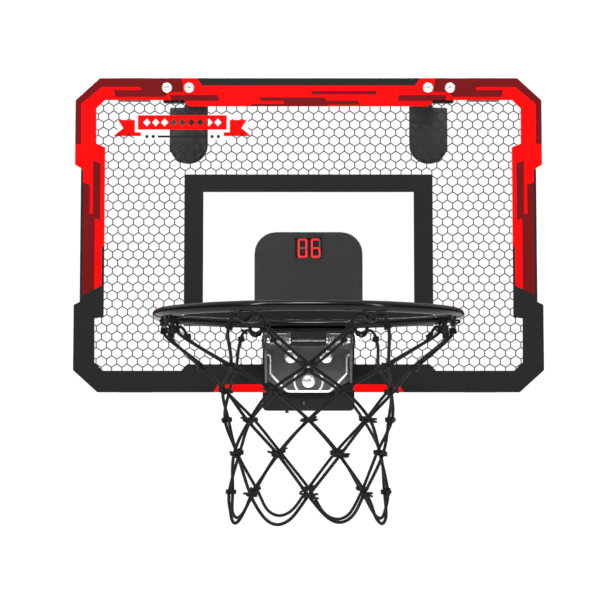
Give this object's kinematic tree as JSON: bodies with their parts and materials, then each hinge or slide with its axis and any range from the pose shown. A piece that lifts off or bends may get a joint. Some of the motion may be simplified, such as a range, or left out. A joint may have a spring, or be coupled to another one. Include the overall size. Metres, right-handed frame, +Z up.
{
  "type": "over-the-door basketball hoop",
  "caption": "Over-the-door mini basketball hoop: clear backboard, door hooks, sprung fold-down rim with cord net, and an electronic scorer with a two-digit display.",
  "frame": {"origin": "on the scorer's flat back face, which rests on the door, on the middle plane and at the height of the rim", "axes": "+Z up, +Y into the door, so the player stands on the -Y side, +X to the player's right"},
  "size_m": [0.421, 0.3473, 0.3885],
  "materials": {
    "clear_board": "glossy",
    "hook_steel": "satin",
    "pad_foam": "matte",
    "bumper_foam": "matte",
    "bright_zinc": "polished",
    "housing_plastic": "matte",
    "switch_plastic": "matte",
    "smoked_window": "glossy",
    "display_body": "matte",
    "circuit_green": "satin",
    "cell_jacket": "satin",
    "sensor_lens": "glossy",
    "wire_red": "satin",
    "bracket_steel": "satin",
    "washer_plastic": "satin",
    "spring_steel": "satin",
    "rim_enamel": "glossy",
    "net_cord": "matte",
    "print_red": "glossy",
    "print_maroon": "glossy",
    "print_black": "glossy",
    "led_lit": "glossy",
    "led_unlit": "matte"
  },
  "bodies": {
    "root": {"backboard": "clear_board", "ball_sensor": "sensor_lens", "battery_1": "cell_jacket", "battery_2": "cell_jacket", "battery_contact_left": "bright_zinc", "battery_contact_right": "bright_zinc", "battery_lead": "wire_red", "bracket_bolt_1": "bright_zinc", "bracket_bolt_2": "bright_zinc", "bracket_bolt_3": "bright_zinc", "bracket_nut_1": "bright_zinc", "bracket_nut_2": "bright_zinc", "bracket_nut_3": "bright_zinc", "bumper_lower_left": "bumper_foam", "bumper_lower_right": "bumper_foam", "bumper_upper_left": "bumper_foam", "bumper_upper_right": "bumper_foam", "buzzer": "display_body", "circuit_board": "circuit_green", "display_module": "display_body", "display_window": "smoked_window", "hinge_nut": "bright_zinc", "hinge_pin": "bright_zinc", "hook_bolt_1": "bright_zinc", "hook_bolt_2": "bright_zinc", "hook_bolt_3": "bright_zinc", "hook_bolt_4": "bright_zinc", "hook_left": "hook_steel", "hook_nut_1": "bright_zinc", "hook_nut_2": "bright_zinc", "hook_nut_3": "bright_zinc", "hook_nut_4": "bright_zinc", "hook_pad_left": "pad_foam", "hook_pad_right": "pad_foam", "hook_right": "hook_steel", "housing_front": "housing_plastic", "housing_rear": "housing_plastic", "housing_screw_1": "bright_zinc", "housing_screw_2": "bright_zinc", "housing_screw_3": "bright_zinc", "housing_screw_4": "bright_zinc", "pin_washer_left": "washer_plastic", "pin_washer_right": "washer_plastic", "rim_bracket": "bracket_steel", "sensor_lead": "wire_red", "spring_left": "spring_steel", "spring_right": "spring_steel"},
    "rim": {"rim_ring": "rim_enamel", "rim_hinge_plate": "bracket_steel", "net": "net_cord", "net_hook_1": "rim_enamel", "net_hook_2": "rim_enamel", "net_hook_3": "rim_enamel", "net_hook_4": "rim_enamel", "net_hook_5": "rim_enamel", "net_hook_6": "rim_enamel", "net_hook_7": "rim_enamel", "net_hook_8": "rim_enamel"},
    "battery_lid": {"battery_door": "housing_plastic"},
    "switch": {"power_switch": "switch_plastic"}
  },
  "joints": [
    {"name": "rim_hinge", "type": "hinge", "parent": "root", "child": "rim", "pos_m": [0, -0.0383, -0.0138], "axis": [1, 0, 0], "range_deg": [0, 30], "stiffness_Nm_per_rad": 1.2, "springref_deg": -45.84, "deforming": ["spring_left", "spring_right"]},
    {"name": "battery_door_hinge", "type": "hinge", "parent": "root", "child": "battery_lid", "pos_m": [0, -0.00095, 0.00625], "axis": [-1, 0, 0], "range_deg": [0, 110]},
    {"name": "power_switch_slide", "type": "slide", "parent": "root", "child": "switch", "axis": [1, 0, 0], "range_m": [0, 0.003]}
  ]
}
